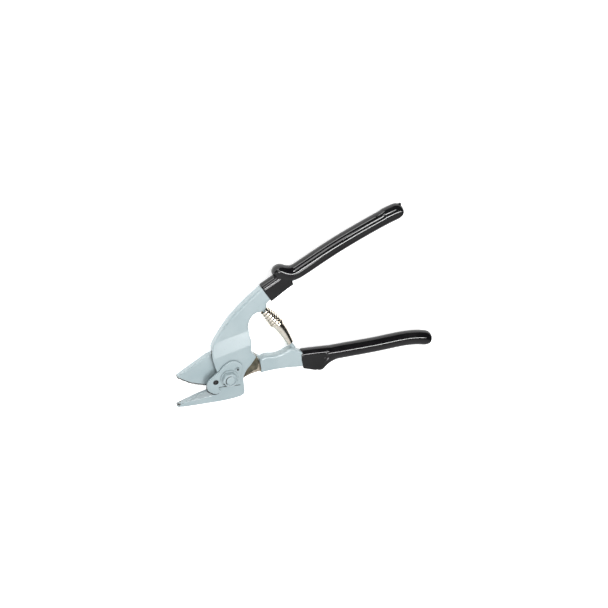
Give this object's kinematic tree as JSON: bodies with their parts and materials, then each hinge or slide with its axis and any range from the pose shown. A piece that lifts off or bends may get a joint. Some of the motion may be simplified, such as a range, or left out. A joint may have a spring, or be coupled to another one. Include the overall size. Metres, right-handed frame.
{
  "type": "steel strap cutter",
  "caption": "One-hand shear for steel strapping: crossed forged arms on a pivot bolt, strap stop, volute return spring, dipped grips with finger guards.",
  "frame": {"origin": "middle of the pivot bolt's threaded end, the lowest point when the tool lies flat", "axes": "+Z along the pivot axis towards the bolt head, +X out along the lower handle, +Y towards the upper handle"},
  "size_m": [0.2896, 0.1971, 0.0329],
  "materials": {
    "paint": "semi-gloss grey-blue enamel",
    "vinyl": "glossy dipped vinyl",
    "spring_steel": "bright rolled strip",
    "zinc_steel": "zinc plated",
    "bronze": "machined bronze",
    "nylon": "matt"
  },
  "bodies": {
    "fixed": {"fixed_arm": "paint", "upper_grip": "vinyl", "pivot_bolt": "paint", "head_washer": "paint", "strap_stop": "paint", "stop_pin": "zinc_steel", "back_washer": "zinc_steel", "disc_spring": "zinc_steel", "lock_nut": "zinc_steel", "nut_insert": "nylon", "spring_upper_cone": "spring_steel"},
    "moving": {"moving_arm": "paint", "lower_grip": "vinyl", "pivot_bush": "bronze", "spring_lower_cone": "spring_steel"}
  },
  "joints": [
    {"name": "jaw_pivot", "type": "hinge", "parent": "fixed", "child": "moving", "pos_m": [0, 0, 0.01625], "axis": [0, 0, 1], "range_deg": [0, 26], "stiffness_Nm_per_rad": 3, "springref_deg": -6.88, "deforming": ["spring_upper_cone", "spring_lower_cone"]}
  ]
}
